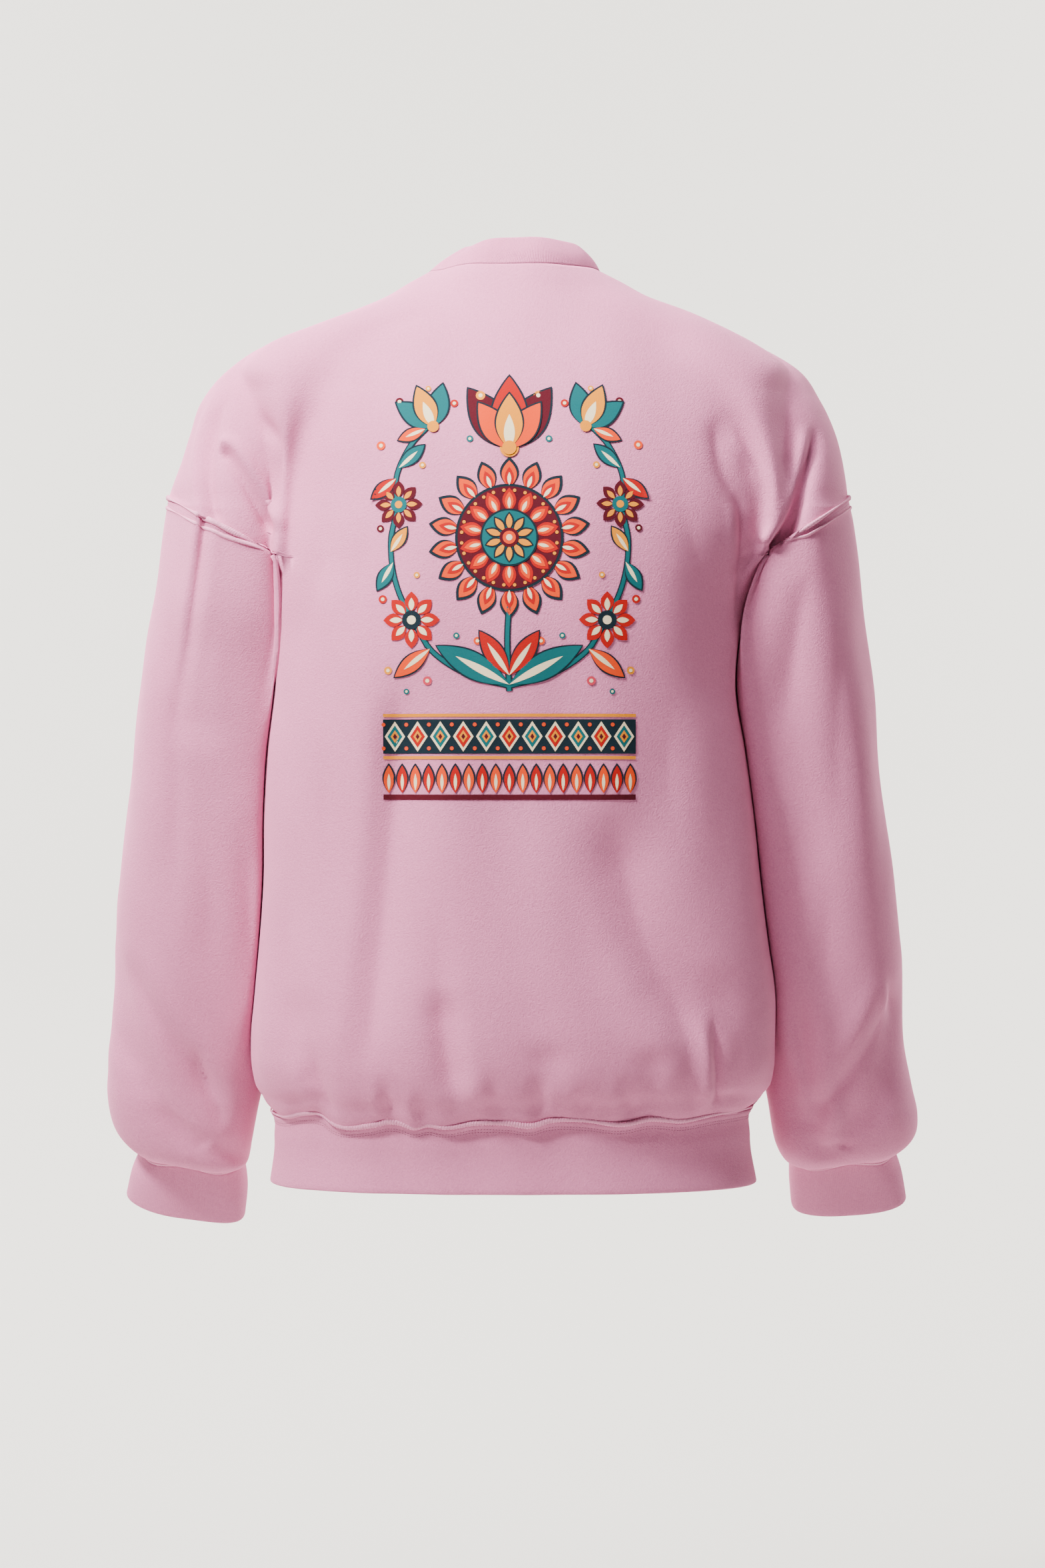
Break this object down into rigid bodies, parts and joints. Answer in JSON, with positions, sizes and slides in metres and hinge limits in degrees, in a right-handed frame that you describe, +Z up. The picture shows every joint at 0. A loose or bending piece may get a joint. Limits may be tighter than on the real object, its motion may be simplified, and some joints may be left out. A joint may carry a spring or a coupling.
{
  "type": "crewneck sweatshirt",
  "caption": "Hollow worn-form crewneck sweatshirt with dropped shoulders, long sleeves gathered into rib cuffs, a rib collar and a rib waistband.",
  "frame": {"origin": "middle of the neck opening, level with the high points of the shoulders, where a wearer's neck and shoulders hold the garment", "axes": "+Z up, -Y the way the wearer's front faces, +X to the wearer's left"},
  "size_m": [0.6594, 0.2755, 0.7837],
  "materials": {
    "fleece": "matte brushed knit",
    "rib": "matte rib knit"
  },
  "bodies": {
    "root": {"back": "fleece", "front": "fleece", "sleeve_left": "fleece", "sleeve_right": "fleece", "neck_rib": "rib", "waistband": "rib", "cuff_left": "rib", "cuff_right": "rib"}
  },
  "joints": []
}
